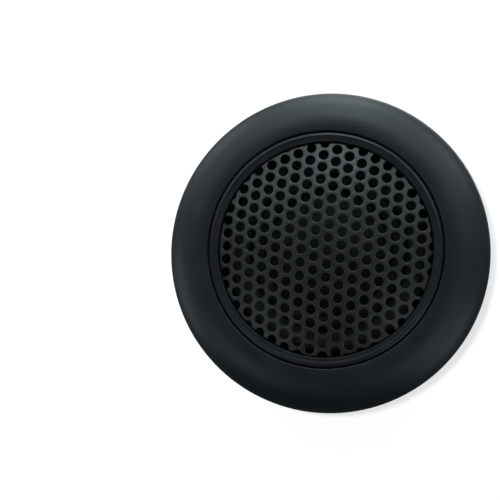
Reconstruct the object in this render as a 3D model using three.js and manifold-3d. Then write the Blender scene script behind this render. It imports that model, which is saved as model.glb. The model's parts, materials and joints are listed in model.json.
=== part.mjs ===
// Surface-mount car dome tweeter: a round pod with a domed, perforated grille, standing on its
// adhesive pad. Millimetres, +Z out through the grille, origin at the centre of the pad's underside.
// Radii and heights below are of the lathe-turned pieces, which all share the Z axis.

import * as THREE from 'three';
import { mergeGeometries, mergeVertices } from 'three/addons/utils/BufferGeometryUtils.js';
import Module from 'manifold-3d';

const wasm = await Module();
wasm.setup();

// ---- driving dimensions ----
const outerRadius = 25;
const rimHeight = 8.8; // height of the widest circle
const bezelRound = 6.4; // radius of the quarter-round between the widest circle and the face
const undersideHeight = 0.6; // the housing's lowest face, just above the surface the pad sticks to
const underRound = 4.3; // how far the rear housing tapers in below the widest circle
const bezelWall = 1.8;
const openingRadius = 18.4; // the bezel's front opening
const seamHeight = 7.4; // lower edge of the bezel
const seamGap = 0.3;
const fitGap = 0.15; // between pieces that rest on each other
const bodySegments = 48;
const innerSegments = 32;

const grilleRadius = 16.45;
const grilleEdgeHeight = 14.2; // underside of the sheet at its cut edge
const grilleThickness = 0.6;
const grilleDomeRadius = 36;
const grilleStretch = 0.5; // 0 keeps the hole spacing level, 1 keeps it along the dome's arc
const holePitch = 2.025; // hole to hole along a column
const columnSpacing = 2.025;
const holeRadius = 0.77;
const holeSides = 6;
const latticeRoll = -4.45; // degrees
const latticeOffset = [0.71, -0.52];

const padRadius = 16;
const padThickness = 0.9;
const padRecessRadius = 16.4;
const padRecessHeight = 1.2;
const floorHeight = 3; // top of the rear housing's floor

const ledgeRadius = 16; // inner edge of the bezel's ledge
const ledgeBottom = 11.8;
const ledgeTop = 12.6;
const collarRadius = 19.9;

const screwCircle = 20;
const screwAngles = [90, 210, 330];
const screwShankRadius = 0.8;
const screwHeadRadius = 1.7;
const screwSeatHeight = 2.2; // the face that the screw heads pull against
const splitHeight = 7.2; // top of the rear housing's bosses

const magnetRadius = 7.8;
const poleRadius = 8.7;
const feltRadius = 7;
const feltThickness = 0.75;
const former = { inner: 9.15, outer: 9.3, bottom: 6.4 };
const winding = { inner: 9.4, outer: 9.95, bottom: 7, top: 8.6 };
const gasket = { inner: 16.1, outer: 16.9, thickness: 0.7 };
const yokeRadius = 11.6;
const yokeWall = 1;
const yokeBottom = 3.3;
const yokeFloor = 4.6;
const yokeTop = 8.7;
const poleBottom = 7.1;
const poleTop = 8.5;

const chassisRadius = 17;
const chassisBottom = 8.3;
const chassisTop = 9.4;
const faceplateBottom = 9.95;
const faceplateTop = 10.8;
const surroundThickness = 0.25;
const rollRadius = 11.05; // centre line of the surround's half roll
const rollHeight = 9.8;
const rollOuter = 1.15;
const domeBase = 9.35;
const domeRadius = 9.75;
const domeRise = 3.2;
const domeThickness = 0.25;

const terminalX = 3.2; // terminals and coil leads stand this far to each side
const terminalY = -15.4;
const boardBottom = 6.4;
const boardTop = 7.2;
const boardHalfLength = 5.5;
const boardHalfWidth = 1.9;
const inletHeight = 4.4;
const inletLand = 23.4; // distance from the axis to the flat that the grommet sits on

// ---- finishes ----
function plastic(colour, roughness) {
  return new THREE.MeshStandardMaterial({ color: colour, roughness, metalness: 0 });
}

function metal(colour, roughness) {
  return new THREE.MeshStandardMaterial({ color: colour, roughness, metalness: 1 });
}

const finishes = {
  softTouch: plastic(0x2b2d31, 0.62),
  satinBlack: plastic(0x26282b, 0.5),
  grillePaint: plastic(0x3a3d3e, 0.55),
  innerBlack: plastic(0x1b1c1e, 0.7),
  foam: plastic(0x232323, 0.95),
  rubber: plastic(0x1d1d1e, 0.85),
  silk: plastic(0x222326, 0.8),
  felt: plastic(0x5b5850, 1),
  polyimide: plastic(0xb5762c, 0.5),
  phenolic: plastic(0x8a5a2e, 0.6),
  sleeve: plastic(0x1f3f7a, 0.4),
  redLead: plastic(0x9c2420, 0.5),
  blackLead: plastic(0x202022, 0.5),
  copper: metal(0xb66a3a, 0.35),
  brass: metal(0xc2a25a, 0.35),
  nickel: metal(0xb9b9b4, 0.25),
  zincSteel: metal(0x9b9c9a, 0.4),
  blackSteel: metal(0x303134, 0.45),
};

// ---- shape helpers ----
function radians(degrees) {
  return THREE.MathUtils.degToRad(degrees);
}

function point(r, z) {
  return new THREE.Vector2(r, z);
}

function arc(centreR, centreZ, radiusR, radiusZ, from, to, steps) {
  const points = [];
  for (let i = 0; i <= steps; i += 1) {
    const angle = radians(from + ((to - from) * i) / steps);
    points.push(point(centreR + radiusR * Math.cos(angle), centreZ + radiusZ * Math.sin(angle)));
  }
  return points;
}

// A profile runs anticlockwise in the r-z half plane. It closes on itself, or starts and ends on the axis.
function turned(profile, segments = innerSegments) {
  const geometry = new THREE.LatheGeometry(profile, segments);
  geometry.rotateX(Math.PI / 2);
  return geometry;
}

function ring(inner, outer, bottom, top, segments = innerSegments) {
  const profile = [point(inner, bottom), point(outer, bottom), point(outer, top), point(inner, top)];
  return turned([...profile, profile[0]], segments);
}

function disc(radius, bottom, top, segments = innerSegments) {
  return turned([point(0, bottom), point(radius, bottom), point(radius, top), point(0, top)], segments);
}

function post(x, y, radius, bottom, top, segments = 12) {
  return disc(radius, bottom, top, segments).translate(x, y, 0);
}

function block(low, high) {
  const size = high.map((value, i) => value - low[i]);
  const geometry = new THREE.BoxGeometry(...size);
  return geometry.translate(...low.map((value, i) => value + size[i] / 2));
}

function wire(points, radius, steps, sides = 6) {
  const path = new THREE.CatmullRomCurve3(points.map((p) => new THREE.Vector3(...p)));
  const section = new THREE.Shape().absarc(0, 0, radius, 0, 2 * Math.PI);
  const options = { extrudePath: path, steps, curveSegments: sides / 2, bevelEnabled: false };
  return new THREE.ExtrudeGeometry(section, options);
}

function solid(geometry) {
  const bare = geometry.clone();
  bare.deleteAttribute('normal');
  bare.deleteAttribute('uv');
  const merged = mergeVertices(bare, 1e-4);
  const index = merged.index.array;
  const corners = [];
  for (let i = 0; i < index.length; i += 3) {
    const [a, b, c] = [index[i], index[i + 1], index[i + 2]];
    if (a !== b && b !== c && c !== a) {
      corners.push(a, b, c);
    }
  }
  const vertProperties = new Float32Array(merged.attributes.position.array);
  return new wasm.Manifold(new wasm.Mesh({ numProp: 3, vertProperties, triVerts: new Uint32Array(corners) }));
}

function carved(base, additions, cuts) {
  let body = solid(base);
  for (const addition of additions) {
    body = body.add(solid(addition));
  }
  for (const cut of cuts) {
    body = body.subtract(solid(cut));
  }
  const result = body.getMesh();
  const geometry = new THREE.BufferGeometry();
  geometry.setAttribute('position', new THREE.BufferAttribute(new Float32Array(result.vertProperties), 3));
  geometry.setIndex(new THREE.BufferAttribute(new Uint32Array(result.triVerts), 1));
  geometry.computeVertexNormals();
  return geometry;
}

const tweeter = new THREE.Group();

function addPiece(name, geometry, finish) {
  const mesh = new THREE.Mesh(geometry, finish.clone());
  mesh.name = name;
  tweeter.add(mesh);
  return mesh;
}

function screwPlaces() {
  return screwAngles.map((angle) => {
    const turn = radians(angle);
    return [screwCircle * Math.cos(turn), screwCircle * Math.sin(turn)];
  });
}

// ---- outer shell ----
function frontBezel() {
  const faceRadius = outerRadius - bezelRound;
  const innerRound = bezelRound - bezelWall;
  const collarAngle = THREE.MathUtils.radToDeg(Math.acos((collarRadius - faceRadius) / innerRound));
  const underCentre = outerRadius - underRound;
  const underHeight = rimHeight - undersideHeight;
  const seamAngle = THREE.MathUtils.radToDeg(Math.asin((rimHeight - seamHeight) / underHeight));
  const edgeBreak = 0.2;
  const faceHeight = rimHeight + bezelRound;
  const shell = [
    point(ledgeRadius, ledgeBottom),
    point(collarRadius, ledgeBottom),
    ...arc(faceRadius, rimHeight, innerRound, innerRound, collarAngle, 0, 3),
    point(outerRadius - bezelWall, seamHeight),
    ...arc(underCentre, rimHeight, underRound, underHeight, -seamAngle, 0, 2),
    ...arc(faceRadius, rimHeight, bezelRound, bezelRound, 0, 90, 8).slice(1),
    point(openingRadius, faceHeight - edgeBreak),
    point(openingRadius, ledgeTop),
    point(ledgeRadius, ledgeTop),
    point(ledgeRadius, ledgeBottom),
  ];
  const bossRadius = 1.55;
  const bossTop = 13.3;
  const pilotRadius = 0.95;
  const pilotTop = 12.3;
  const bossBottom = splitHeight + seamGap;
  const bosses = screwPlaces().map(([x, y]) => post(x, y, bossRadius, bossBottom, bossTop));
  const pilots = screwPlaces().map(([x, y]) => post(x, y, pilotRadius, bossBottom - 1, pilotTop));
  return carved(turned(shell, bodySegments), bosses, pilots);
}

function rearHousing() {
  const underCentre = outerRadius - underRound;
  const underHeight = rimHeight - undersideHeight;
  const topHeight = seamHeight - seamGap;
  const topAngle = THREE.MathUtils.radToDeg(Math.asin((rimHeight - topHeight) / underHeight));
  const lip = { inner: 22.1, outer: 22.9, top: 8.4 };
  const shell = [
    point(0, padRecessHeight),
    point(padRecessRadius, padRecessHeight),
    point(padRecessRadius, undersideHeight),
    ...arc(underCentre, rimHeight, underRound, underHeight, -90, -topAngle, 6),
    point(lip.outer, topHeight),
    point(lip.outer, lip.top),
    point(lip.inner, lip.top),
    point(lip.inner, 6.4),
    point(22.75, 5.2),
    point(22.3, 4.2),
    point(21.4, 3.3),
    point(20.4, floorHeight),
    point(0, floorHeight),
  ];
  const buried = floorHeight - 0.5;
  const bosses = screwPlaces().map(([x, y]) => post(x, y, 2.2, buried, splitHeight));
  const ribs = [60, 180, 300].map((angle) => {
    return block([14, -0.8, buried], [16.6, 0.8, chassisBottom - seamGap]).rotateZ(radians(angle));
  });
  const boardPosts = [-1, 1].map((side) => {
    const x = side * (boardHalfLength - 0.45);
    const top = boardBottom - seamGap;
    return block([x - 0.35, terminalY - 0.8, buried], [x + 0.35, terminalY + 0.8, top]);
  });
  const counterbores = screwPlaces().map(([x, y]) => post(x, y, 1.95, 0, screwSeatHeight));
  const clearanceHoles = screwPlaces().map(([x, y]) => post(x, y, 1, 1, splitHeight + 1));
  const landHalf = 2.8;
  const landBottom = 2.2;
  const landTop = 6.6;
  const land = block([-landHalf, -outerRadius - 1, landBottom], [landHalf, -inletLand, landTop]);
  const inletHole = alongInlet(disc(1.6, -5, 5, 12));
  return carved(
    turned(shell, bodySegments),
    [...bosses, ...ribs, ...boardPosts],
    [...counterbores, ...clearanceHoles, land, inletHole],
  );
}

// Turns a piece made along +Z so that it lies along -Y, with its zero on the inlet's flat.
function alongInlet(geometry) {
  return geometry.rotateX(Math.PI / 2).translate(0, -inletLand, inletHeight);
}

function cableGrommet() {
  const bore = 0.9;
  const neck = 1.35;
  const flange = 2;
  const standOff = 0.15;
  const flangeThickness = 0.9;
  const profile = [
    point(bore, -1.8),
    point(neck, -1.8),
    point(neck, standOff),
    point(flange, standOff),
    point(flange, standOff + flangeThickness * 0.6),
    point(flange - 0.4, standOff + flangeThickness),
    point(bore, standOff + flangeThickness),
    point(bore, -1.8),
  ];
  return alongInlet(turned(profile, 16));
}

function housingScrew(x, y) {
  const headTop = screwSeatHeight - fitGap;
  const profile = [
    point(0, headTop - 1),
    point(screwHeadRadius * 0.7, headTop - 1),
    point(screwHeadRadius, headTop - 0.6),
    point(screwHeadRadius, headTop),
    point(screwShankRadius, headTop),
    point(screwShankRadius, 11),
    point(0, 11.8),
  ];
  return turned(profile, 12).translate(x, y, 0);
}

// ---- grille and its trim ----
function trimRing() {
  const sideGap = 0.2;
  const outside = openingRadius - sideGap;
  const flangeRadius = openingRadius - fitGap;
  const flangeTop = 14.72;
  const shoulder = 0.6;
  const crestHeight = 15.22;
  const landRadius = 17.3;
  const landHeight = 15.1;
  const wallRadius = 16.7;
  const seatRadius = 16.1;
  const seatTop = grilleEdgeHeight - 0.2;
  const bottom = ledgeTop + fitGap;
  const profile = [
    point(seatRadius, bottom),
    point(flangeRadius, bottom),
    point(flangeRadius, flangeTop),
    point(outside, flangeTop),
    ...arc(outside - shoulder, crestHeight - shoulder, shoulder, shoulder, 12, 90, 3),
    point(landRadius, landHeight),
    point(wallRadius, landHeight),
    point(wallRadius, seatTop),
    point(seatRadius, seatTop),
    point(seatRadius, bottom),
  ];
  return turned(profile);
}

// The flat sheet is punched first and then pressed, so holes near the edge draw in with the metal.
function pressedRadius(flat) {
  const alongArc = grilleDomeRadius * Math.sin(flat / grilleDomeRadius);
  return grilleStretch * alongArc + (1 - grilleStretch) * flat;
}

function holePlaces() {
  const reach = Math.ceil(grilleRadius / holePitch) + 1;
  const thinnestWeb = 0.12;
  const places = [];
  for (let column = -reach; column <= reach; column += 1) {
    for (let row = -reach; row <= reach; row += 1) {
      const u = column * columnSpacing + latticeOffset[0];
      const v = (row + (column % 2 ? 0.5 : 0)) * holePitch + latticeOffset[1];
      const place = new THREE.Vector2(u, v).rotateAround(new THREE.Vector2(), radians(latticeRoll));
      place.setLength(pressedRadius(place.length()));
      const edgeWeb = grilleRadius - place.length() - holeRadius;
      if (Math.abs(edgeWeb) < thinnestWeb) {
        place.setLength(place.length() + edgeWeb + thinnestWeb); // open the hole rather than leave a sliver
      }
      if (edgeWeb > -1.8 * holeRadius) {
        places.push(place);
      }
    }
  }
  return places;
}

function grille() {
  const halfAngle = THREE.MathUtils.radToDeg(Math.asin(grilleRadius / grilleDomeRadius));
  const centre = grilleEdgeHeight - grilleDomeRadius * Math.cos(radians(halfAngle));
  const under = arc(0, centre, grilleDomeRadius, grilleDomeRadius, 90, 90 - halfAngle, 3);
  const over = under.map((p) => point(p.x, p.y + grilleThickness)).reverse();
  const punches = holePlaces().map((place) => {
    return disc(holeRadius, grilleEdgeHeight - 1, rimHeight * 3, holeSides).translate(place.x, place.y, 0);
  });
  return carved(turned([...under, ...over], 24), [], [mergeGeometries(punches)]);
}

// ---- driver ----
function frontGasket() {
  const bottom = faceplateTop + fitGap;
  return ring(gasket.inner, gasket.outer, bottom, bottom + gasket.thickness);
}

function faceplate() {
  const throat = rollRadius + rollOuter + 0.25;
  const lipRadius = 15.7;
  const lipWidth = 0.6;
  const lipTop = 12;
  const flareRadius = lipRadius - lipWidth;
  const flareBottom = 10.2;
  const profile = [
    point(throat, faceplateBottom),
    point(chassisRadius, faceplateBottom),
    point(chassisRadius, faceplateTop),
    point(lipRadius, faceplateTop),
    point(lipRadius, lipTop),
    point(flareRadius, lipTop),
    ...arc(throat, lipTop, flareRadius - throat, lipTop - flareBottom, 0, -90, 5).slice(1),
    point(throat, faceplateBottom),
  ];
  return turned(profile);
}

function domeDiaphragm() {
  const rimTop = domeBase + domeThickness;
  const capRadius = domeRadius - 0.25;
  const ball = (capRadius ** 2 + domeRise ** 2) / (2 * domeRise);
  const centre = rimTop + domeRise - ball;
  const halfAngle = THREE.MathUtils.radToDeg(Math.asin(capRadius / ball));
  const innerBall = ball - domeThickness;
  const innerHalf = THREE.MathUtils.radToDeg(Math.acos((domeBase - centre) / innerBall));
  const profile = [
    ...arc(0, centre, innerBall, innerBall, 90, 90 - innerHalf, 4),
    point(domeRadius, domeBase),
    point(domeRadius, rimTop),
    ...arc(0, centre, ball, ball, 90 - halfAngle, 90, 4),
  ];
  return turned(profile);
}

function surround() {
  const inside = rollOuter - surroundThickness;
  const collarBottom = 8.95;
  const flangeRadius = 13.6;
  const profile = [
    point(rollRadius - rollOuter, collarBottom),
    point(rollRadius - inside, collarBottom),
    ...arc(rollRadius, rollHeight, inside, inside, 180, 0, 5),
    point(rollRadius + inside, rollHeight - surroundThickness),
    point(flangeRadius, rollHeight - surroundThickness),
    point(flangeRadius, rollHeight),
    ...arc(rollRadius, rollHeight, rollOuter, rollOuter, 0, 180, 5),
    point(rollRadius - rollOuter, collarBottom),
  ];
  return turned(profile);
}

function voiceCoilFormer() {
  return ring(former.inner, former.outer, former.bottom, domeBase - fitGap);
}

function voiceCoilWinding() {
  return ring(winding.inner, winding.outer, winding.bottom, winding.top);
}

function dampingPad() {
  const bottom = poleTop + fitGap;
  return disc(feltRadius, bottom, bottom + feltThickness);
}

function magnet() {
  return disc(magnetRadius, yokeFloor + fitGap, poleBottom - fitGap);
}

function yokeCup() {
  const profile = [
    point(0, yokeBottom),
    point(yokeRadius, yokeBottom),
    point(yokeRadius, yokeTop),
    point(yokeRadius - yokeWall, yokeTop),
    point(yokeRadius - yokeWall, yokeFloor),
    point(0, yokeFloor),
  ];
  return turned(profile);
}

function driverChassis() {
  const bore = yokeRadius + fitGap;
  const skirtRadius = 13;
  const skirtBottom = 5.4;
  const profile = [
    point(bore, skirtBottom),
    point(skirtRadius, skirtBottom),
    point(skirtRadius, chassisBottom),
    point(chassisRadius, chassisBottom),
    point(chassisRadius, chassisTop),
    point(bore, chassisTop),
    point(bore, skirtBottom),
  ];
  const leadHoles = [-terminalX, terminalX].map((x) => {
    return post(x, terminalY, 0.5, chassisBottom - 1, chassisTop + 1);
  });
  const leadGrooves = [-terminalX, terminalX].map((x) => {
    return block([x - 0.4, terminalY, chassisTop - 0.6], [x + 0.4, -bore + 1, chassisTop + 1]);
  });
  return carved(turned(profile), [], [...leadHoles, ...leadGrooves]);
}

function terminalBoard() {
  const rivetHoles = [-terminalX, terminalX].map((x) => {
    return post(x, terminalY, 0.65, boardBottom - 1, boardTop + 1);
  });
  const low = [-boardHalfLength, terminalY - boardHalfWidth, boardBottom];
  const high = [boardHalfLength, terminalY + boardHalfWidth, boardTop];
  return carved(block(low, high), [], rivetHoles);
}

function terminal(x) {
  const footTop = boardBottom - fitGap;
  const headBottom = boardTop + fitGap;
  const bladeHalf = 1.2;
  const bladeBottom = 3.5;
  const left = x - bladeHalf;
  const right = x + bladeHalf;
  const foot = block([left, terminalY - 0.9, footTop - 0.3], [right, terminalY + 0.9, footTop]);
  const blade = block([left, terminalY - 0.2, bladeBottom], [right, terminalY + 0.2, footTop - 0.1]);
  const rivet = post(x, terminalY, 0.5, footTop - 0.2, headBottom + 0.1);
  const head = post(x, terminalY, 0.9, headBottom, headBottom + 0.25);
  return carved(foot, [blade, rivet, head], []);
}

function coilLead(x) {
  const top = chassisTop - 0.3;
  const points = [
    [x, terminalY, boardTop + 0.55],
    [x, terminalY, top - 0.45],
    [x, terminalY + 0.12, top - 0.12],
    [x, terminalY + 0.45, top],
    [x, terminalY + 2.4, top],
    [x, -10.2, top],
  ];
  return wire(points, 0.2, 14);
}

// ---- crossover ----
const capacitor = { radius: 2.4, length: 10.5, angle: 150, circle: 15.8, height: 5.7 };

function crossoverCapacitor() {
  const half = capacitor.length / 2;
  const { radius } = capacitor;
  const profile = [
    point(0, -half),
    point(radius - 0.3, -half),
    point(radius, -half + 0.3),
    point(radius, half - 1.3),
    point(radius - 0.25, half - 1.05),
    point(radius, half - 0.8),
    point(radius, half - 0.3),
    point(radius - 0.3, half),
    point(0, half),
  ];
  const geometry = turned(profile, 16).rotateX(-Math.PI / 2).translate(capacitor.circle, 0, capacitor.height);
  return geometry.rotateZ(radians(capacitor.angle));
}

function capacitorLead() {
  const points = [
    [-16.45, 3.09, 5.7],
    [-17.05, 1.4, 5.2],
    [-17.2, -1.5, 4.6],
    [-16.16, -5.88, 4.2],
    [-14.09, -9.87, 4],
    [-11.5, -12.8, 4],
    [-8.7, -15.3, 4],
    [-5.9, -17.3, 4.4],
    [-3.9, -17.5, 4.8],
    [-3.2, -16.2, 5],
  ];
  return wire(points, 0.35, 30);
}

// ---- assembly ----
addPiece('front_bezel', frontBezel(), finishes.softTouch);
addPiece('trim_ring', trimRing(), finishes.satinBlack);
addPiece('grille', grille(), finishes.grillePaint);
addPiece('front_gasket', frontGasket(), finishes.foam);
addPiece('faceplate', faceplate(), finishes.innerBlack);
addPiece('dome_diaphragm', domeDiaphragm(), finishes.silk);
addPiece('surround', surround(), finishes.rubber);
addPiece('voice_coil_former', voiceCoilFormer(), finishes.polyimide);
addPiece('voice_coil_winding', voiceCoilWinding(), finishes.copper);
addPiece('damping_pad', dampingPad(), finishes.felt);
addPiece('pole_plate', disc(poleRadius, poleBottom, poleTop), finishes.zincSteel);
addPiece('magnet', magnet(), finishes.nickel);
addPiece('yoke_cup', yokeCup(), finishes.zincSteel);
addPiece('driver_chassis', driverChassis(), finishes.innerBlack);
addPiece('terminal_board', terminalBoard(), finishes.phenolic);
addPiece('terminal_positive', terminal(-terminalX), finishes.brass);
addPiece('terminal_negative', terminal(terminalX), finishes.brass);
addPiece('coil_lead_positive', coilLead(-terminalX), finishes.redLead);
addPiece('coil_lead_negative', coilLead(terminalX), finishes.blackLead);
addPiece('crossover_capacitor', crossoverCapacitor(), finishes.sleeve);
addPiece('capacitor_lead', capacitorLead(), finishes.redLead);
addPiece('rear_housing', rearHousing(), finishes.satinBlack);
addPiece('cable_grommet', cableGrommet(), finishes.rubber);
screwPlaces().forEach(([x, y], i) => {
  addPiece(`housing_screw_${i + 1}`, housingScrew(x, y), finishes.blackSteel);
});
addPiece('adhesive_pad', disc(padRadius, 0, padThickness), finishes.foam);

export default tweeter;
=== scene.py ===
import json
import math

import bpy
import numpy as np
from mathutils import Matrix, Vector
from mathutils.geometry import delaunay_2d_cdt


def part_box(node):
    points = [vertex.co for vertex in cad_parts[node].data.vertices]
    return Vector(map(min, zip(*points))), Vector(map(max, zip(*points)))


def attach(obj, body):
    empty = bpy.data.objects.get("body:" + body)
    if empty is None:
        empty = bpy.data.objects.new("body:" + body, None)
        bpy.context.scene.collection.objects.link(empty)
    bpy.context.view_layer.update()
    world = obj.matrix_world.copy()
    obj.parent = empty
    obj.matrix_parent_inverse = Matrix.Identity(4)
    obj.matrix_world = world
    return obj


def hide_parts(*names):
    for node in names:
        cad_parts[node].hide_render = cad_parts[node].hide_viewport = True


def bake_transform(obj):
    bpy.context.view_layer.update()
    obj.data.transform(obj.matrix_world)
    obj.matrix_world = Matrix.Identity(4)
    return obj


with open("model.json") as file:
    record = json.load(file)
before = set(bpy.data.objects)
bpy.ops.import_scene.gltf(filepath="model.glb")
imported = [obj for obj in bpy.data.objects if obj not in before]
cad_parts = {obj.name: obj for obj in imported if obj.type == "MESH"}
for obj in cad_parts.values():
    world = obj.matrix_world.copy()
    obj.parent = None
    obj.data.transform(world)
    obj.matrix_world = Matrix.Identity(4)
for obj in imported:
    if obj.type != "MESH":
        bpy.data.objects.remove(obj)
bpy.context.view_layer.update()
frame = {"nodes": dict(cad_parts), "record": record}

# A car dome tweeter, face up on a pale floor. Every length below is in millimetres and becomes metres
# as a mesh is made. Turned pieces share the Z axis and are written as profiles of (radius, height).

MM = 0.001
slots = {part["node"]: part["material_slot"] for part in frame["record"]["subparts"]}


def node_box(node):
    low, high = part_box(node)
    return Vector(low) / MM, Vector(high) / MM


# ---- driving sizes: from the frame, and what its boxes don't give ----
BEZEL_LOW, BEZEL_HIGH = node_box("front_bezel")
HOUSING_LOW, HOUSING_HIGH = node_box("rear_housing")
RING_LOW, RING_HIGH = node_box("trim_ring")
GRILLE_TOP = node_box("grille")[1].z
OUTER_RADIUS = BEZEL_HIGH.x
FACE_HEIGHT = BEZEL_HIGH.z
SEAM_HEIGHT = BEZEL_LOW.z
UNDERSIDE = HOUSING_LOW.z
RIM_HEIGHT = 8.8  # height of the widest circle
BEZEL_ROUND = FACE_HEIGHT - RIM_HEIGHT
UNDER_ROUND = 4.3  # how far the rear housing tapers in below the widest circle
OPENING_RADIUS = 18.4  # the bezel's front opening
LEDGE_RADIUS = 16.0  # inner edge of the bezel's ledge
LEDGE_TOP = 12.6
LEDGE_BOTTOM = 11.8
FINE = 192  # facets round a visible turned piece
INNER = 128  # facets round a hidden one
ON_AXIS = 1e-6  # a radius below this lies on the axis


# ---- meshes ----
def arc(centre, radii, start, stop, steps):
    angles = np.radians(np.linspace(start, stop, steps + 1))
    return [(centre[0] + radii[0] * math.cos(a), centre[1] + radii[1] * math.sin(a)) for a in angles]


def soften(corner, before, after, radius, steps=4):
    """The corner of a profile as an arc of that radius, or as large as its two sides allow."""
    here = Vector(corner)
    back = Vector(before) - here
    ahead = Vector(after) - here
    half = back.angle(ahead) / 2
    reach = min(radius / math.tan(half), 0.45 * back.length, 0.45 * ahead.length)
    first = here + back.normalized() * reach
    last = here + ahead.normalized() * reach
    points = []
    for i in range(steps + 1):
        t = i / steps
        points.append(tuple((1 - t) ** 2 * first + 2 * t * (1 - t) * here + t * t * last))
    return points


def outline(points):
    """A profile whose points may carry a corner radius as a third number."""
    smooth = []
    count = len(points)
    for i, point in enumerate(points):
        if len(point) == 3:
            before = points[(i - 1) % count][:2]
            after = points[(i + 1) % count][:2]
            smooth.extend(soften(point[:2], before, after, point[2]))
        else:
            smooth.append(point)
    return smooth


def new_object(name, vertices, faces):
    mesh = bpy.data.meshes.new(name)
    mesh.from_pydata([tuple(v) for v in vertices], [], faces)
    mesh.validate()
    mesh.update()
    shape = bpy.data.objects.new(name, mesh)
    bpy.context.scene.collection.objects.link(shape)
    return shape


def shade(shape, sharp_angle=38):
    shape.data.shade_smooth()
    shape.data.set_sharp_from_angle(angle=math.radians(sharp_angle))
    return shape


def turned(name, points, segments=FINE):
    """Turns an anticlockwise profile round Z. Points on the axis become one vertex."""
    profile = outline(points)
    turns = [2 * math.pi * k / segments for k in range(segments)]
    vertices = []
    rows = []
    for r, z in profile:
        start = len(vertices)
        if r < ON_AXIS:
            vertices.append((0, 0, z * MM))
            rows.append([start] * segments)
        else:
            vertices.extend((r * math.cos(a) * MM, r * math.sin(a) * MM, z * MM) for a in turns)
            rows.append(list(range(start, start + segments)))
    faces = []
    for i, row in enumerate(rows):
        following = (i + 1) % len(rows)
        above = rows[following]
        if profile[i][0] < ON_AXIS and profile[following][0] < ON_AXIS:
            continue
        for k in range(segments):
            j = (k + 1) % segments
            corners = [row[k], row[j], above[j], above[k]]
            face = [c for n, c in enumerate(corners) if c not in corners[:n]]
            if len(face) > 2:
                faces.append(face)
    return shade(new_object(name, vertices, faces))


def block(low, high, turn=0):
    xs, ys, zs = zip(low, high)
    vertices = [Vector((x, y, z)) * MM for z in zs for y in ys for x in xs]
    spin = Matrix.Rotation(math.radians(turn), 3, "Z")
    faces = [(0, 2, 3, 1), (4, 5, 7, 6), (0, 1, 5, 4), (1, 3, 7, 5), (3, 2, 6, 7), (2, 0, 4, 6)]
    return new_object("cutter", [spin @ v for v in vertices], faces)


def peg(x, y, radius, bottom, top, segments=48):
    shape = turned("cutter", [(0, bottom), (radius, bottom), (radius, top), (0, top)], segments)
    shape.data.transform(Matrix.Translation(Vector((x, y, 0)) * MM))
    return shape


def combine(shape, others, operation):
    """Joins or cuts in one step, and keeps only the finished mesh."""
    for other in others:
        step = shape.modifiers.new(operation, "BOOLEAN")
        step.operation = operation
        step.solver = "EXACT"
        step.object = other
    bpy.context.view_layer.update()
    graph = bpy.context.evaluated_depsgraph_get()
    made = bpy.data.meshes.new_from_object(shape.evaluated_get(graph))
    shape.modifiers.clear()
    shape.data = made
    for other in others:
        bpy.data.objects.remove(other)
    return shade(shape, 30)


def finished(shape, node, material, body="pod"):
    """Gives a piece its material and lets it stand for its CAD node."""
    shape.data.materials.clear()
    shape.data.materials.append(material)
    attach(shape, body)
    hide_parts(node)
    return shape


# ---- materials ----
class Look:
    """A Principled material, and short calls for the nodes that vary it."""

    def __init__(self, name, colour, roughness, metallic=0.0, specular=0.5):
        self.material = bpy.data.materials.new(name)
        self.material.use_nodes = True
        self.tree = self.material.node_tree
        self.shader = self.tree.nodes["Principled BSDF"]
        self.shader.inputs["Base Color"].default_value = (*colour, 1)
        self.shader.inputs["Roughness"].default_value = roughness
        self.shader.inputs["Metallic"].default_value = metallic
        self.shader.inputs["Specular IOR Level"].default_value = specular
        self.place = self.node("ShaderNodeTexCoord").outputs["Object"]
        self.relief = None

    def node(self, kind, **settings):
        made = self.tree.nodes.new(kind)
        for key, value in settings.items():
            setattr(made, key, value)
        return made

    def link(self, source, target):
        self.tree.links.new(source, target)

    def noise(self, size, detail=3.0, roughness=0.55, stretch=(1, 1, 1)):
        """Noise whose features are about that many millimetres across."""
        scaling = self.node("ShaderNodeMapping")
        scaling.inputs["Scale"].default_value = stretch
        self.link(self.place, scaling.inputs["Vector"])
        texture = self.node("ShaderNodeTexNoise")
        texture.inputs["Scale"].default_value = 1 / (size * MM)
        texture.inputs["Detail"].default_value = detail
        texture.inputs["Roughness"].default_value = roughness
        self.link(scaling.outputs["Vector"], texture.inputs["Vector"])
        return texture.outputs["Fac"]

    def spread(self, source, low, high, start=0.3, stop=0.7):
        """Maps a value from start..stop to low..high."""
        fit = self.node("ShaderNodeMapRange")
        for key, value in (("From Min", start), ("From Max", stop), ("To Min", low), ("To Max", high)):
            fit.inputs[key].default_value = value
        self.link(source, fit.inputs["Value"])
        return fit.outputs["Result"]

    def between(self, factor, first, second):
        """Mixes two colours, each given as three numbers or as a socket."""
        mix = self.node("ShaderNodeMix", data_type="RGBA")
        colours = [socket for socket in mix.inputs if socket.type == "RGBA"]
        for socket, value in zip(colours, (first, second)):
            if isinstance(value, tuple):
                socket.default_value = (*value, 1)
            else:
                self.link(value, socket)
        self.link(factor, mix.inputs["Factor"])
        return next(socket for socket in mix.outputs if socket.type == "RGBA")

    def bump(self, height, depth):
        """Relief of that many millimetres, on top of any relief already given."""
        node = self.node("ShaderNodeBump")
        node.inputs["Strength"].default_value = 1.0
        node.inputs["Distance"].default_value = depth * MM
        self.link(height, node.inputs["Height"])
        if self.relief:
            self.link(self.relief, node.inputs["Normal"])
        self.relief = node.outputs["Normal"]
        self.link(self.relief, self.shader.inputs["Normal"])

    def colour(self, source):
        self.link(source, self.shader.inputs["Base Color"])

    def roughness(self, source):
        self.link(source, self.shader.inputs["Roughness"])


def shades(colour, amount):
    """A darker and a lighter shade of a colour."""
    darker = tuple(c * (1 - amount) for c in colour)
    lighter = tuple(min(1.0, c * (1 + amount)) for c in colour)
    return darker, lighter


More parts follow.
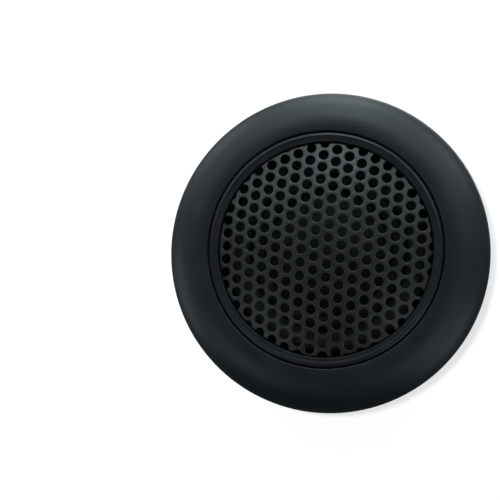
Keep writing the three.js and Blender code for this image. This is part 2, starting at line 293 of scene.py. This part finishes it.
def plain(
    name, colour, roughness, grain=0.12, depth=0.004, mottle=0.12, patch=4.0, metallic=0.0, specular=0.5
):
    """A surface with slow changes of colour and gloss, patch across, and a fine grain of that depth."""
    look = Look(name, colour, roughness, metallic, specular)
    slow = look.noise(patch, 4)
    fine = look.noise(grain, 2)
    look.colour(look.between(look.spread(slow, 0, 1), *shades(colour, mottle)))
    look.roughness(look.spread(slow, roughness - 0.05, roughness + 0.05))
    look.bump(fine, depth)
    return look


def soft_touch():
    """Black soft-touch lacquer with a blue cast: velvety at a grazing angle, faintly rubbed and dusty."""
    colour = (0.0150, 0.0180, 0.0215)
    finish = {"grain": 0.11, "depth": 0.0035, "mottle": 0.16, "patch": 7.0, "specular": 0.45}
    look = plain("soft_touch", colour, 0.50, **finish)
    look.shader.inputs["Sheen Weight"].default_value = 0.06
    look.shader.inputs["Sheen Roughness"].default_value = 0.45
    look.bump(look.noise(1.6, 2), 0.006)
    return look.material


def satin_plastic():
    colour = (0.0165, 0.0185, 0.0200)
    look = plain("satin_plastic", colour, 0.40, grain=0.16, depth=0.003, mottle=0.14, patch=3.0)
    return look.material


def grille_paint():
    """Dark grey paint on punched sheet, with a few tiny chips."""
    colour = (0.0270, 0.0285, 0.0275)
    look = plain("grille_paint", colour, 0.44, grain=0.07, depth=0.004, mottle=0.22, patch=1.8)
    chips = look.spread(look.noise(0.55, 5, 0.7), 0, 1, 0.70, 0.76)
    paint = look.shader.inputs["Base Color"].links[0].from_socket
    bare_sheet = (0.16, 0.165, 0.16)
    look.colour(look.between(chips, paint, bare_sheet))
    return look.material


def edge_highlight_paint():
    """The same paint, lighter and glossier, on the rolled edges of the holes: the lighter colour is a
    painted highlight.
    """
    colour = (0.058, 0.062, 0.060)
    look = plain("edge_highlight_paint", colour, 0.36, grain=0.07, depth=0.003, mottle=0.3, patch=1.2)
    return look.material


def inner_plastic():
    return plain("inner_plastic", (0.035, 0.037, 0.037), 0.65, grain=0.2, depth=0.006).material


def rubber():
    return plain("rubber", (0.022, 0.022, 0.023), 0.72, grain=0.09, depth=0.006, specular=0.35).material


def foam():
    """Closed-cell foam: small round pits."""
    look = plain("foam", (0.020, 0.020, 0.021), 0.9, grain=0.3, depth=0.02, specular=0.25)
    cells = look.node("ShaderNodeTexVoronoi")
    cells.inputs["Scale"].default_value = 1 / (0.32 * MM)
    look.link(look.place, cells.inputs["Vector"])
    look.bump(cells.outputs["Distance"], 0.06)
    return look.material


def silk():
    """Coated woven silk: two crossed sets of fine threads."""
    look = plain("silk", (0.016, 0.017, 0.017), 0.6, grain=0.3, depth=0.004, specular=0.4)
    for direction in ("X", "Y"):
        threads = look.node("ShaderNodeTexWave", bands_direction=direction)
        threads.inputs["Scale"].default_value = 1 / (0.6 * MM)
        threads.inputs["Distortion"].default_value = 0.4
        look.link(look.place, threads.inputs["Vector"])
        look.bump(threads.outputs["Fac"], 0.02)
    return look.material


def felt():
    colour = (0.16, 0.15, 0.13)
    look = plain("felt", colour, 0.95, grain=0.25, depth=0.12, mottle=0.35, patch=0.8, specular=0.2)
    return look.material


def film():
    return plain("polyimide", (0.42, 0.20, 0.05), 0.3, grain=0.5, depth=0.002).material


def board():
    look = plain("phenolic", (0.28, 0.15, 0.06), 0.5, grain=0.2, depth=0.004, mottle=0.2)
    return look.material


def sleeve():
    return plain("capacitor_sleeve", (0.02, 0.05, 0.16), 0.28, grain=0.6, depth=0.004).material


def insulation(name, colour):
    return plain(name, colour, 0.38, grain=0.5, depth=0.003).material


def turned_metal(name, colour, roughness):
    """Plated or bare metal with fine rings round its axis."""
    look = plain(name, colour, roughness, grain=0.3, depth=0.002, mottle=0.1, metallic=1.0)
    rings = look.node("ShaderNodeTexWave", wave_type="RINGS", rings_direction="Z")
    rings.inputs["Scale"].default_value = 1 / (0.5 * MM)
    rings.inputs["Distortion"].default_value = 1.2
    look.link(look.place, rings.inputs["Vector"])
    look.bump(rings.outputs["Fac"], 0.002)
    return look.material


def wound_wire():
    """Enamelled copper wire, wound turn on turn."""
    look = plain("copper", (0.48, 0.18, 0.08), 0.3, grain=0.4, depth=0.002, metallic=1.0)
    turns = look.node("ShaderNodeTexWave", bands_direction="Z", wave_profile="SIN")
    turns.inputs["Scale"].default_value = 0.5 / (0.16 * MM)
    look.link(look.place, turns.inputs["Vector"])
    look.bump(turns.outputs["Fac"], 0.05)
    return look.material


MATERIALS = {
    "soft_touch": soft_touch(),
    "satin_black": satin_plastic(),
    "grille_paint": grille_paint(),
    "inner_black": inner_plastic(),
    "foam": foam(),
    "rubber": rubber(),
    "silk": silk(),
    "felt": felt(),
    "polyimide": film(),
    "phenolic": board(),
    "capacitor_sleeve": sleeve(),
    "red_lead": insulation("red_lead", (0.32, 0.02, 0.016)),
    "black_lead": insulation("black_lead", (0.016, 0.016, 0.016)),
    "copper": wound_wire(),
    "brass": plain("brass", (0.56, 0.40, 0.16), 0.3, grain=0.2, depth=0.002, metallic=1.0).material,
    "nickel": turned_metal("nickel", (0.60, 0.59, 0.56), 0.22),
    "zinc_steel": turned_metal("zinc_steel", (0.36, 0.36, 0.35), 0.35),
    "black_steel": turned_metal("black_steel", (0.05, 0.05, 0.052), 0.4),
}


# ---- camera, lights and floor ----
PICTURE_WIDTH = 78.0  # width of the picture at the tweeter's widest circle
CAMERA_DISTANCE = 420.0
AXIS_LEAN = 8.0  # angle between the tweeter's axis and the line of sight, in degrees
LEAN_DIRECTION = 141.0  # where the axis leans in the picture, anticlockwise from its right
OFF_CENTRE = (12.46, -0.47)  # the tweeter's place right of and above the picture's centre


def picture_axes(back):
    """The picture's right and up for a camera whose back points that way, held upright to +Y."""
    right = Vector((0, 1, 0)).cross(back).normalized()
    return right, back.cross(right)


def camera():
    data = bpy.data.cameras.new("camera")
    data.lens = data.sensor_width * CAMERA_DISTANCE / PICTURE_WIDTH
    view = bpy.data.objects.new("camera", data)
    bpy.context.scene.collection.objects.link(view)
    bpy.context.scene.camera = view
    direction = math.radians(LEAN_DIRECTION)
    sideways = -math.sin(math.radians(AXIS_LEAN))
    upward = math.cos(math.radians(AXIS_LEAN))
    back = Vector((sideways * math.cos(direction), sideways * math.sin(direction), upward))
    centre = Vector((0, 0, RIM_HEIGHT))
    place = centre + back * CAMERA_DISTANCE
    right, up = picture_axes(back)
    aim = centre - right * OFF_CENTRE[0] - up * OFF_CENTRE[1]
    back = (place - aim).normalized()
    right, up = picture_axes(back)
    turn = Matrix((right, up, back)).transposed().to_4x4()
    view.matrix_world = Matrix.Translation(place * MM) @ turn


LAMP_DISTANCE = 600.0
LAMP_SIZE = 360.0
LAMP_COLOUR = (0.84, 0.97, 1.0)
# Each lamp's direction anticlockwise from +X and its height above the floor's level, both in degrees,
# and its watts. Most light comes from +Y, low down. Lamps below the floor's level stand for light that
# a white table sends back.
LAMPS = {
    "key": (90, 30, 1.5),
    "key_left": (138, 32, 0.6),
    "key_right": (42, 32, 0.6),
    "fill_left": (222, 35, 0.4),
    "fill_right": (318, 35, 0.5),
    "bounce_far": (90, -14, 1.4),
    "bounce_left": (135, -12, 0.6),
    "bounce_right": (45, -6, 0.7),
    "rim_left": (190, -6, 0.5),
    "rim_right": (325, -6, 0.5),
    "underside": (90, -70, 0.8),
}


def lamp(name, kind, direction, power):
    data = bpy.data.lights.new(name, kind)
    data.energy = power
    data.color = LAMP_COLOUR
    made = bpy.data.objects.new(name, data)
    bpy.context.scene.collection.objects.link(made)
    made.location = direction * LAMP_DISTANCE * MM
    made.rotation_mode = "QUATERNION"
    made.rotation_quaternion = (-direction).to_track_quat("-Z", "Y")
    made.visible_camera = False
    return made


def lights():
    for name, (turn, height, power) in LAMPS.items():
        raised = Matrix.Rotation(math.radians(-height), 3, "Y")
        aim = Matrix.Rotation(math.radians(turn), 3, "Z") @ raised
        made = lamp(name, "AREA", aim @ Vector((1, 0, 0)), power)
        made.data.shape = "DISK"
        made.data.size = LAMP_SIZE * MM


SHADOW_LAMP_DIRECTION = Vector((-0.056, 0.02, 1)).normalized()
SHADOW_LAMP_POWER = 2.4
SHADOW_LAMP_WIDTH = 5  # degrees across, seen from the floor
FLOOR_REACH = 4000
FLOOR_HEIGHT = -0.02  # a hair under the pad, so that the two faces don't share a plane
FLOOR_GREY = 0.3
FLOOR_GLOW = 0.68
WHITE = (1, 1, 1)


def shadow_lamp(floor_plane):
    """A lamp that lights only the floor, so that the object's shadow falls on it at the lower right."""
    made = lamp("shadow_lamp", "SUN", SHADOW_LAMP_DIRECTION, SHADOW_LAMP_POWER)
    made.data.color = WHITE
    made.data.angle = math.radians(SHADOW_LAMP_WIDTH)
    receivers = bpy.data.collections.new("floor_only")
    receivers.objects.link(floor_plane)
    made.light_linking.receiver_collection = receivers


def floor():
    signs = ((-1, -1), (1, -1), (1, 1), (-1, 1))
    corners = [Vector((x * FLOOR_REACH, y * FLOOR_REACH, FLOOR_HEIGHT)) * MM for x, y in signs]
    plane = new_object("floor", corners, [(0, 1, 2, 3)])
    look = Look("floor", (FLOOR_GREY,) * 3, 0.8, specular=0.0)
    look.shader.inputs["Emission Color"].default_value = (*WHITE, 1)
    look.shader.inputs["Emission Strength"].default_value = FLOOR_GLOW
    see_through_from_below(look)
    plane.data.materials.append(look.material)
    seen_only_by_camera(plane)
    shadow_lamp(plane)


def see_through_from_below(look):
    """Keeps the floor out of views from under it."""
    side = look.node("ShaderNodeNewGeometry").outputs["Backfacing"]
    clear = look.node("ShaderNodeBsdfTransparent").outputs["BSDF"]
    mix = look.node("ShaderNodeMixShader")
    look.link(side, mix.inputs[0])
    look.link(look.shader.outputs["BSDF"], mix.inputs[1])
    look.link(clear, mix.inputs[2])
    look.link(mix.outputs["Shader"], look.tree.nodes["Material Output"].inputs["Surface"])


def seen_only_by_camera(shape):
    shape.visible_glossy = False
    shape.visible_diffuse = False
    shape.visible_transmission = False
    shape.visible_shadow = False


def surroundings():
    """White to the camera all round; it lights nothing."""
    world = bpy.data.worlds.new("world")
    bpy.context.scene.world = world
    world.use_nodes = True
    background = world.node_tree.nodes["Background"]
    background.inputs["Color"].default_value = (*WHITE, 1)
    background.inputs["Strength"].default_value = 1.0
    world.cycles_visibility.diffuse = False
    world.cycles_visibility.glossy = False
    bpy.context.scene.view_settings.view_transform = "Standard"


# ---- outer shell ----
SCREW_CIRCLE = 20.0
SCREW_TURNS = [math.radians(a) for a in (90, 210, 330)]
SCREW_PLACES = [(SCREW_CIRCLE * math.cos(turn), SCREW_CIRCLE * math.sin(turn)) for turn in SCREW_TURNS]
BOSS_SPLIT = 7.35  # middle of the gap between the housing's bosses and the bezel's
HALF_GAP = 0.15
INLET_HEIGHT = 4.4
INLET_LAND = 23.4  # distance from the axis to the flat that the grommet sits on


def under_arc(radius, offset, heights, steps):
    """The housing's lower rounding between two heights, set in by offset."""
    reach = RIM_HEIGHT - UNDERSIDE - offset
    angles = [math.degrees(math.asin((z - RIM_HEIGHT) / reach)) for z in heights]
    return arc((OUTER_RADIUS - UNDER_ROUND, RIM_HEIGHT), (radius, reach), *angles, steps)


def front_bezel():
    face_radius = OUTER_RADIUS - BEZEL_ROUND
    wall = 1.8
    inner = BEZEL_ROUND - wall
    collar = 19.9
    collar_angle = math.degrees(math.acos((collar - face_radius) / inner))
    lip = 0.14
    points = [
        (LEDGE_RADIUS, LEDGE_BOTTOM, 0.15),
        (collar, LEDGE_BOTTOM, 0.3),
        *arc((face_radius, RIM_HEIGHT), (inner, inner), collar_angle, 0, 14),
        (OUTER_RADIUS - wall, SEAM_HEIGHT, 0.2),
        (OUTER_RADIUS - 0.15, SEAM_HEIGHT, 0.25),
        *under_arc(UNDER_ROUND, 0, (SEAM_HEIGHT + 0.35, RIM_HEIGHT), 4),
        *arc((face_radius, RIM_HEIGHT), (BEZEL_ROUND, BEZEL_ROUND), 0, 90, 44)[1:-1],
        (face_radius, FACE_HEIGHT),
        *arc((OPENING_RADIUS + lip, FACE_HEIGHT - lip), (lip, lip), 96, 180, 8),
        (OPENING_RADIUS, LEDGE_TOP),
        (LEDGE_RADIUS, LEDGE_TOP, 0.15),
    ]
    shape = turned("bezel_shell", points)
    boss, boss_top = 1.55, 13.3
    combine(shape, [peg(x, y, boss, BOSS_SPLIT + HALF_GAP, boss_top) for x, y in SCREW_PLACES], "UNION")
    pilot, pilot_top = 0.95, 12.3
    combine(shape, [peg(x, y, pilot, BOSS_SPLIT - 1, pilot_top) for x, y in SCREW_PLACES], "DIFFERENCE")
    return finished(shape, "front_bezel", MATERIALS["soft_touch"])


def rear_housing():
    recess, recess_height = 16.4, 1.2
    floor_top = 3.0
    top = HOUSING_HIGH.z - 1.3
    lip = (22.1, 22.9)
    points = [
        (0, recess_height),
        (recess, recess_height),
        (recess, UNDERSIDE, 0.2),
        *under_arc(UNDER_ROUND, 0, (UNDERSIDE, top - 0.3), 28),
        (OUTER_RADIUS - 0.1, top, 0.25),
        (lip[1], top),
        (lip[1], HOUSING_HIGH.z, 0.15),
        (lip[0], HOUSING_HIGH.z, 0.15),
        (lip[0], 6.4, 0.3),
        (22.75, 5.2, 0.5),
        (22.3, 4.2, 0.8),
        (21.4, 3.3, 0.6),
        (20.4, floor_top, 0.6),
        (0, floor_top),
    ]
    shape = turned("housing_shell", points)
    buried = floor_top - 0.5
    boss = 2.2
    bosses = [peg(x, y, boss, buried, BOSS_SPLIT - HALF_GAP) for x, y in SCREW_PLACES]
    rib_start, rib_stop, rib_half, rib_top = 14, 16.6, 0.8, 8.0
    rib_box = (rib_start, -rib_half, buried), (rib_stop, rib_half, rib_top)
    ribs = [block(*rib_box, angle) for angle in (60, 180, 300)]
    post_x, post_half, post_back, post_front, post_top = 5.05, 0.35, -16.2, -14.6, 6.1
    board_posts = [
        block((x - post_half, post_back, buried), (x + post_half, post_front, post_top))
        for x in (-post_x, post_x)
    ]
    combine(shape, bosses + ribs + board_posts, "UNION")
    counterbore, screw_seat, clearance = 1.95, 2.2, 1.0
    counterbores = [peg(x, y, counterbore, 0, screw_seat, 64) for x, y in SCREW_PLACES]
    clearances = [peg(x, y, clearance, 1, BOSS_SPLIT + 1) for x, y in SCREW_PLACES]
    land_half, land_bottom, land_top = 2.8, 2.2, 6.6
    land = block((-land_half, -OUTER_RADIUS - 1, land_bottom), (land_half, -INLET_LAND, land_top))
    inlet_hole, inlet_reach = 1.6, 5
    inlet = along_inlet(peg(0, 0, inlet_hole, -inlet_reach, inlet_reach))
    combine(shape, [*counterbores, *clearances, land, inlet], "DIFFERENCE")
    return finished(shape, "rear_housing", MATERIALS["satin_black"])


def along_inlet(shape):
    """Lays a piece made along +Z along -Y, with its zero on the inlet's flat."""
    turn = Matrix.Rotation(math.radians(90), 4, "X")
    shape.data.transform(Matrix.Translation(Vector((0, -INLET_LAND, INLET_HEIGHT)) * MM) @ turn)
    return shape


def cable_grommet():
    bore, neck, flange = 0.9, 1.35, 2.0
    inner_end, seat, outer_end = -1.8, 0.05, 1.05
    points = [
        (bore, inner_end, 0.1),
        (neck, inner_end, 0.25),
        (neck, seat, 0.05),
        (flange, seat, 0.1),
        (flange, outer_end, 0.45),
        (bore, outer_end, 0.3),
    ]
    shape = along_inlet(turned("inlet_grommet", points, 96))
    return finished(shape, "cable_grommet", MATERIALS["rubber"])


def housing_screw(number, x, y):
    head, shank, seat = 1.7, 0.8, 2.1
    crown = 0.5
    points = [
        (0, seat - 2 * crown),
        *arc((0, seat - crown), (head, crown), -80, 0, 10),
        (head, seat, 0.08),
        (shank, seat),
    ]
    thread, pitch, tip = 0.12, 0.55, 11.8
    height = seat + 0.6
    while height < tip - 1.2:
        points += [(shank - thread, height), (shank, height + pitch * 0.35)]
        height += pitch
    points += [(shank - thread, tip - 1.0), (0, tip)]
    shape = turned(f"screw_{number}", points, 64)
    shape.data.transform(Matrix.Translation(Vector((x, y, 0)) * MM))
    slot_half, slot_length, slot_depth = 0.17, 1.0, 0.6
    bottom = seat - 1.1
    first_turn = 20 + 40 * number
    cross = []
    for turn in (first_turn, first_turn + 90):
        arm = block((-slot_length, -slot_half, bottom), (slot_length, slot_half, bottom + slot_depth), turn)
        arm.data.transform(Matrix.Translation(Vector((x, y, 0)) * MM))
        cross.append(arm)
    combine(shape, cross, "DIFFERENCE")
    return finished(shape, f"housing_screw_{number}", MATERIALS["black_steel"])


def adhesive_pad():
    low, high = node_box("adhesive_pad")
    bulge = 0.1
    points = [
        (0, low.z),
        (high.x, low.z, 0.1),
        (high.x + bulge, (low.z + high.z) / 2, 0.2),
        (high.x, high.z, 0.1),
        (0, high.z),
    ]
    return finished(turned("foam_pad", points), "adhesive_pad", MATERIALS["foam"])


# ---- trim ring and grille ----
def trim_ring():
    """A rounded shoulder beside the bezel, a flat land, and a step down to the grille's seat."""
    flange, crest = RING_HIGH.x, RING_HIGH.z
    flange_top = 14.72
    outside = flange - 0.05
    shoulder = 0.6
    land_radius, land = 17.3, 15.1
    wall, bore, seat = 16.7, 16.1, 14.0
    points = [
        (bore, RING_LOW.z, 0.1),
        (flange, RING_LOW.z, 0.1),
        (flange, flange_top, 0.05),
        (outside, flange_top),
        *arc((outside - shoulder, crest - shoulder), (shoulder, shoulder), 12, 84, 14),
        (land_radius, land, 0.3),
        (wall, land, 0.1),
        (wall, seat),
        (bore, seat, 0.1),
    ]
    return finished(turned("ring", points), "trim_ring", MATERIALS["satin_black"])


GRILLE_RADIUS = 16.45
GRILLE_DOME = 36.0
GRILLE_THICKNESS = 0.6
GRILLE_STRETCH = 0.5  # 0 keeps the hole spacing level, 1 keeps it along the dome's arc
HOLE_PITCH = 2.025  # hole to hole along a column
COLUMN_SPACING = 2.025
HOLE_RADIUS = 0.77
LATTICE_ROLL = -4.45  # degrees
LATTICE_OFFSET = (0.71, -0.52)
HOLE_SIDES = 28
EDGE_ROUND = 0.13
# How a hole's edge rolls over, from the sheet's face to the hole's wall: how far out from the wall and
# how far down, both as fractions of EDGE_ROUND.
EDGE_STEPS = [(0.8, 0.0), (0.55, 0.07), (0.3, 0.25), (0.12, 0.55), (0.0, 1.0)]
EDGE_RADIUS = HOLE_RADIUS + EDGE_ROUND * EDGE_STEPS[0][0]


def hole_places():
    reach = math.ceil(GRILLE_RADIUS / HOLE_PITCH) + 1
    roll = Matrix.Rotation(math.radians(LATTICE_ROLL), 2)
    thinnest_web = 0.12
    places = []
    for column in range(-reach, reach + 1):
        for row in range(-reach, reach + 1):
            u = column * COLUMN_SPACING + LATTICE_OFFSET[0]
            v = (row + column % 2 / 2) * HOLE_PITCH + LATTICE_OFFSET[1]
            place = roll @ Vector((u, v))
            flat = place.length
            along_arc = GRILLE_DOME * math.sin(flat / GRILLE_DOME)
            radius = GRILLE_STRETCH * along_arc + (1 - GRILLE_STRETCH) * flat
            edge_web = GRILLE_RADIUS - radius - HOLE_RADIUS
            if abs(edge_web) < thinnest_web:
                radius += edge_web + thinnest_web  # opens the hole rather than leave a sliver
            if edge_web > -1.8 * HOLE_RADIUS:
                places.append(place.normalized() * radius)
    return places


def circle(centre, radius, sides, turn=0.0):
    angles = [2 * math.pi * k / sides + turn for k in range(sides)]
    return [Vector((centre[0] + radius * math.cos(a), centre[1] + radius * math.sin(a))) for a in angles]


def dome_height(x, y):
    return GRILLE_TOP - GRILLE_DOME + math.sqrt(GRILLE_DOME ** 2 - x * x - y * y)


def grille():
    """The pressed sheet: triangles round the holes, raised onto the dome, with softened hole edges."""
    places = hole_places()
    whole = [p for p in places if p.length + HOLE_RADIUS < GRILLE_RADIUS]
    broken = [p for p in places if p.length + HOLE_RADIUS >= GRILLE_RADIUS]
    loops = [circle(p, EDGE_RADIUS, HOLE_SIDES) for p in whole]
    loops += [circle(p, HOLE_RADIUS, HOLE_SIDES) for p in broken]
    loops.append(circle((0, 0), GRILLE_RADIUS, 2 * FINE))
    flat, edges = [], []
    for loop in loops:
        start = len(flat)
        flat.extend(loop)
        edges.extend((start + i, start + (i + 1) % len(loop)) for i in range(len(loop)))
    points, _, triangles, _, _, _ = delaunay_2d_cdt(flat, edges, [], 0, 1e-5)
    centres = np.array([p[:] for p in whole + broken])
    inside_facets = 0.985  # a hole's facets run a little inside its circle
    limits = np.array([EDGE_RADIUS] * len(whole) + [HOLE_RADIUS] * len(broken)) * inside_facets
    kept = []
    for triangle in triangles:
        middle = sum((points[i] for i in triangle), Vector((0, 0))) / 3
        distances = np.hypot(centres[:, 0] - middle.x, centres[:, 1] - middle.y)
        if middle.length < GRILLE_RADIUS and (distances > limits).all():
            kept.append(tuple(triangle))
    return grille_solid(points, kept, whole)


def grille_solid(points, triangles, whole):
    count = len(points)
    top = [(p.x, p.y, dome_height(p.x, p.y)) for p in points]
    vertices = top + [(x, y, z - GRILLE_THICKNESS) for x, y, z in top]
    faces = list(triangles) + [tuple(count + i for i in reversed(t)) for t in triangles]
    directed = {(t[i], t[(i + 1) % 3]) for t in triangles for i in range(3)}
    border = {a: b for a, b in directed if (b, a) not in directed}
    rounded = on_whole_holes(whole, points, border)
    for a, b in border.items():
        if a not in rounded:
            faces.append((b, a, count + a, count + b))
    highlight_faces = []
    for centre, start in rounded_starts(rounded):
        loop = follow(border, start)
        rings = [loop]
        for outward, drop in EDGE_STEPS[1:]:
            rings.append(add_ring(vertices, points, loop, centre, outward * EDGE_ROUND, drop * EDGE_ROUND))
        rings.append(add_ring(vertices, points, loop, centre, 0.0, GRILLE_THICKNESS))
        rings.append([count + i for i in loop])
        for step, (upper, lower) in enumerate(zip(rings, rings[1:])):
            for i in range(len(loop)):
                j = (i + 1) % len(loop)
                # the rolled edge's faces take the lighter paint, a painted highlight
                if 0 < step < len(EDGE_STEPS) - 1:
                    highlight_faces.append(len(faces))
                faces.append((upper[j], upper[i], lower[i], lower[j]))
    shape = new_object("perforated_sheet", [Vector(v) * MM for v in vertices], faces)
    finished(shade(shape, 50), "grille", MATERIALS["grille_paint"])
    # a lighter paint for the rolled hole edges, a painted highlight
    shape.data.materials.append(edge_highlight_paint())
    for number in highlight_faces:
        shape.data.polygons[number].material_index = 1
    return shape


def on_whole_holes(whole, points, border):
    """Border points that lie round a whole hole, and which hole."""
    closeness = 0.004
    centres = np.array([p[:] for p in whole])
    found = {}
    for i in border:
        distances = np.hypot(centres[:, 0] - points[i].x, centres[:, 1] - points[i].y)
        nearest = int(distances.argmin())
        if abs(distances[nearest] - EDGE_RADIUS) < closeness:
            found[i] = (nearest, centres[nearest])
    return found


def rounded_starts(rounded):
    """Each whole hole's centre, with one of its points."""
    first = {}
    for i, (hole, centre) in rounded.items():
        first.setdefault(hole, (centre, i))
    return first.values()


def follow(border, start):
    """The closed loop of border points from start."""
    loop = [start]
    while border[loop[-1]] != start:
        loop.append(border[loop[-1]])
    return loop


def add_ring(vertices, points, loop, centre, outward, drop):
    """A copy of a hole's loop, drawn in to the hole's edge plus outward and lowered by drop."""
    made = []
    for i in loop:
        away = points[i] - Vector(centre)
        place = Vector(centre) + away.normalized() * (HOLE_RADIUS + outward)
        made.append(len(vertices))
        vertices.append((place.x, place.y, dome_height(place.x, place.y) - drop))
    return made


# ---- driver ----
def driver_front():
    low, high = node_box("front_gasket")
    bore = 16.1
    gasket = [(bore, low.z, 0.1), (high.x, low.z, 0.1), (high.x, high.z, 0.1), (bore, high.z, 0.1)]
    finished(turned("gasket", gasket, INNER), "front_gasket", MATERIALS["foam"])
    low, high = node_box("faceplate")
    throat, lip, flare = 12.45, 15.7, 15.1
    flange_top = low.z + 0.85
    points = [
        (throat, low.z, 0.1),
        (high.x, low.z, 0.1),
        (high.x, flange_top, 0.1),
        (lip, flange_top),
        (lip, high.z, 0.15),
        (flare, high.z, 0.15),
        *arc((throat, high.z), (flare - throat, high.z - low.z - 0.25), -4, -90, 16),
    ]
    finished(turned("front_plate", points, INNER), "faceplate", MATERIALS["inner_black"])


def dome():
    low, high = node_box("dome_diaphragm")
    rim, thickness = high.x, 0.25
    cap = rim - 0.25
    rise = high.z - low.z - thickness
    ball = (cap ** 2 + rise ** 2) / (2 * rise)
    centre = high.z - ball
    half = math.degrees(math.asin(cap / ball))
    inner_half = math.degrees(math.acos((low.z - centre) / (ball - thickness)))
    inner_arc = arc((0, centre), (ball - thickness,) * 2, 90, 90 - inner_half, 24)
    outer_arc = arc((0, centre), (ball, ball), 90 - half, 90, 24)
    points = [
        (0, inner_arc[0][1]),
        *inner_arc[1:],
        (rim, low.z),
        (rim, low.z + thickness),
        *outer_arc[:-1],
        (0, high.z),
    ]
    return finished(turned("silk_dome", points), "dome_diaphragm", MATERIALS["silk"], "diaphragm")


def surround():
    low, high = node_box("surround")
    thickness = 0.25
    roll, outer = 11.05, 1.15
    roll_height = high.z - outer
    inside = outer - thickness
    points = [
        (roll - outer, low.z),
        (roll - inside, low.z),
        *arc((roll, roll_height), (inside, inside), 180, 0, 20),
        (roll + inside, roll_height - thickness),
        (high.x, roll_height - thickness),
        (high.x, roll_height),
        *arc((roll, roll_height), (outer, outer), 0, 180, 20),
    ]
    shape = turned("roll_surround", points)
    shape.data.materials.append(MATERIALS["rubber"])
    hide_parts("surround")
    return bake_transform(shape)


def coil():
    rings = [
        ("voice_coil_former", "polyimide", 9.15, 9.3),
        ("voice_coil_winding", "copper", 9.4, 9.95),
    ]
    for node, material, inner, outer in rings:
        low, high = node_box(node)
        points = [(inner, low.z), (outer, low.z, 0.05), (outer, high.z, 0.05), (inner, high.z)]
        finished(turned(node + "_fine", points, INNER), node, MATERIALS[material], "diaphragm")


def motor():
    discs = [("damping_pad", "felt", 0.2), ("pole_plate", "zinc_steel", 0.1), ("magnet", "nickel", 0.3)]
    for node, material, edge in discs:
        low, high = node_box(node)
        points = [(0, low.z), (high.x, low.z, edge), (high.x, high.z, edge), (0, high.z)]
        finished(turned(node + "_fine", points, INNER), node, MATERIALS[material])
    low, high = node_box("yoke_cup")
    wall, base = 1.0, 1.3
    points = [
        (0, low.z),
        (high.x, low.z, 0.5),
        (high.x, high.z, 0.1),
        (high.x - wall, high.z, 0.1),
        (high.x - wall, low.z + base, 0.2),
        (0, low.z + base),
    ]
    finished(turned("yoke", points, INNER), "yoke_cup", MATERIALS["zinc_steel"])


def kept_nodes():
    """Small square pieces keep their CAD shape and take a finish."""
    nodes = (
        "driver_chassis",
        "terminal_board",
        "terminal_positive",
        "terminal_negative",
        "coil_lead_positive",
        "coil_lead_negative",
        "crossover_capacitor",
        "capacitor_lead",
    )
    for node in nodes:
        shape = frame["nodes"][node]
        for place in shape.material_slots:
            place.material = MATERIALS[slots[node]]
        bevel = shape.modifiers.new("edges", "BEVEL")
        bevel.width = 0.05 * MM
        bevel.segments = 2
        bevel.angle_limit = math.radians(40)


camera()
surroundings()
lights()
floor()
front_bezel()
rear_housing()
cable_grommet()
for screw_number, (screw_x, screw_y) in enumerate(SCREW_PLACES, 1):
    housing_screw(screw_number, screw_x, screw_y)
adhesive_pad()
trim_ring()
grille()
driver_front()
dome()
surround()
coil()
motor()
kept_nodes()
